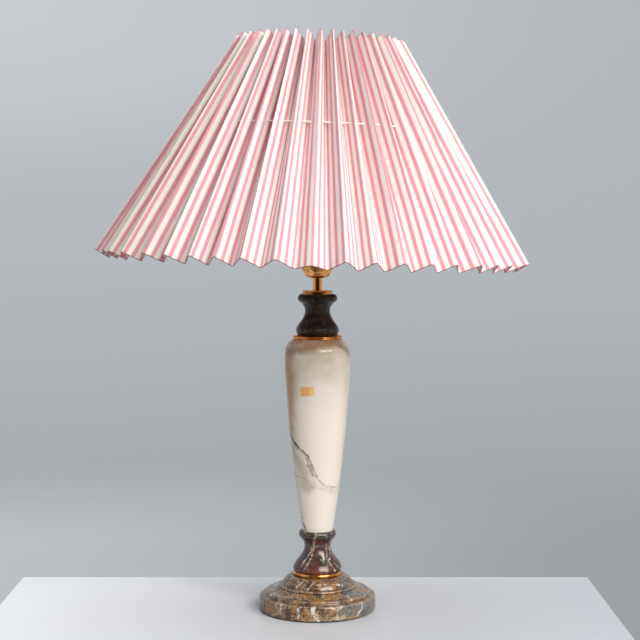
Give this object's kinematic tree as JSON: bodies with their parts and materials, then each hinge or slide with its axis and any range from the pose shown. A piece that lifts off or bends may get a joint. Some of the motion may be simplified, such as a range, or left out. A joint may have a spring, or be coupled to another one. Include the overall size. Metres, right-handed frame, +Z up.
{
  "type": "column table lamp",
  "caption": "Column table lamp with a turned stone foot, tapering alabaster column, screw lampholder and a leaning pleated shade on a wire carrier.",
  "frame": {"origin": "centre of the underside of the foot", "axes": "+Z up along the column, -Y towards the front, +X to the right as seen from the front"},
  "size_m": [0.4448, 0.4458, 0.5948],
  "materials": {
    "felt": "matt felt",
    "ochre_marble": "polished",
    "red_marble": "polished",
    "dark_marble": "polished",
    "alabaster": "polished",
    "brass": "polished",
    "steel": "zinc plated",
    "black_bush": "moulded",
    "porcelain": "glazed",
    "contact_strip": "rolled",
    "sleeve": "unglazed",
    "switch_bar": "polished",
    "solder": "tinned",
    "cap_insulator": "moulded",
    "bulb_cap": "rolled thread",
    "opal_glass": "opal",
    "carrier_wire": "plated",
    "striped_sheet": "striped woven cloth on stiff card",
    "thread": "waxed thread"
  },
  "bodies": {
    "stand": {"felt_pad": "felt", "plinth": "ochre_marble", "cord_bush": "black_bush", "base_washer": "steel", "base_nut": "steel", "tie_tube": "brass", "lower_ring": "brass", "lower_spool": "red_marble", "alabaster_column": "alabaster", "upper_ring": "brass", "upper_spool": "dark_marble", "cover_disc": "brass", "holder_cap": "brass", "cap_locknut": "brass", "holder_body": "brass", "porcelain_insert": "porcelain", "terminal_screws": "steel", "centre_contact": "contact_strip", "screw_shell": "contact_strip", "insulating_sleeve": "sleeve", "switch_collars": "brass"},
    "switch": {"switch_bar": "switch_bar"},
    "bulb": {"bulb_contact": "solder", "bulb_insulator": "cap_insulator", "bulb_cap": "bulb_cap", "bulb_glass": "opal_glass"},
    "carrier": {"fitter_ring": "carrier_wire", "carrier_arms": "carrier_wire", "carrier_hoop": "carrier_wire"},
    "ring": {"shade_ring": "brass"},
    "shade": {"pleated_shade": "striped_sheet", "main_thread": "thread", "top_thread": "thread"}
  },
  "joints": [
    {"name": "switch_push", "type": "slide", "parent": "stand", "child": "switch", "axis": [1, 0, 0], "range_m": [0, 0.004]},
    {"name": "bulb_removal", "type": "slide", "parent": "stand", "child": "bulb", "axis": [0, 0, 1], "range_m": [0, 0.225]},
    {"name": "ring_unscrew", "type": "slide", "parent": "stand", "child": "ring", "axis": [0, 0, 1], "range_m": [0, 0.022]},
    {"name": "shade_turn", "type": "hinge", "parent": "stand", "child": "carrier", "pos_m": [0, 0, 0.385], "axis": [0, 0, 1], "continuous": true},
    {"name": "shade_lift", "type": "slide", "parent": "carrier", "child": "shade", "axis": [0, 0, 1], "range_m": [0, 0.18]}
  ]
}
